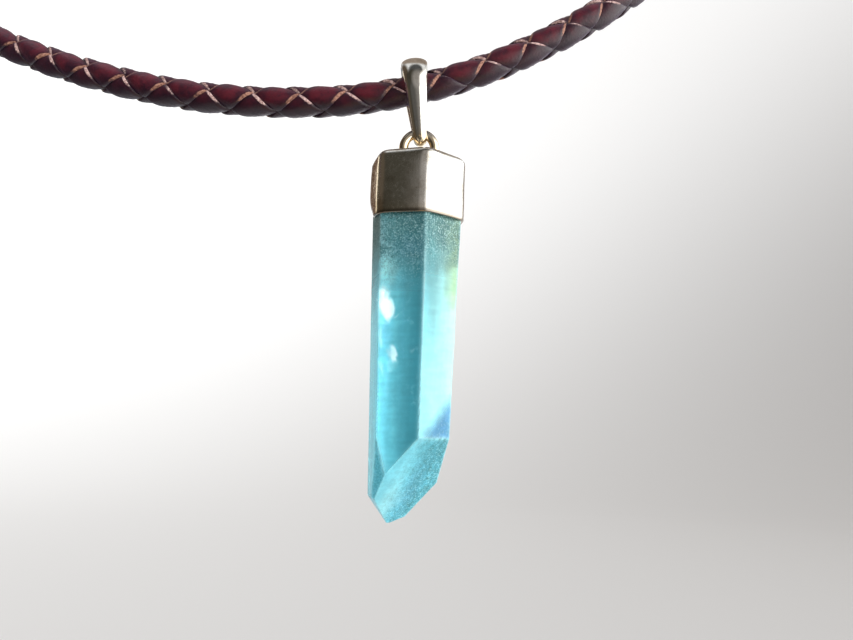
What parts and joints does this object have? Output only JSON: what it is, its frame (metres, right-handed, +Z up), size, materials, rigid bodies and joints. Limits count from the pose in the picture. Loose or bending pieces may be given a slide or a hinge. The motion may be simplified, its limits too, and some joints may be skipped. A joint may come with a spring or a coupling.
{
  "type": "crystal point pendant",
  "caption": "Clear aqua quartz point in a six-sided silver cap, hung by a soldered ring and a tapered bail on a round-braided leather cord with a barrel clasp.",
  "frame": {"origin": "underside of the clasp's middle, where the nape of the neck carries the necklace", "axes": "+Z up, the pendant hangs at the front towards -Y, +X to the viewer's right"},
  "size_m": [0.1262, 0.0629, 0.1901],
  "materials": {
    "leather": "oxblood leather with tan cut edges",
    "silver": "hand-polished silver, scratched and lightly tarnished",
    "crystal": "polished aqua quartz with a frosted point"
  },
  "bodies": {
    "cord": {"lace_1": "leather", "lace_2": "leather", "lace_3": "leather", "lace_4": "leather", "clasp": "silver"},
    "bail": {"bail": "silver"},
    "drop": {"cap": "silver", "crystal": "crystal"}
  },
  "joints": [
    {"name": "bail_swing", "type": "hinge", "parent": "cord", "child": "bail", "pos_m": [0.01264, -0.05554, -0.14607], "axis": [0.9659, 0, 0.259], "range_deg": [-90, 90]},
    {"name": "drop_swing", "type": "hinge", "parent": "bail", "child": "drop", "pos_m": [0.01312, -0.05554, -0.15166], "axis": [0, 1, 0], "range_deg": [-50, 50]}
  ]
}
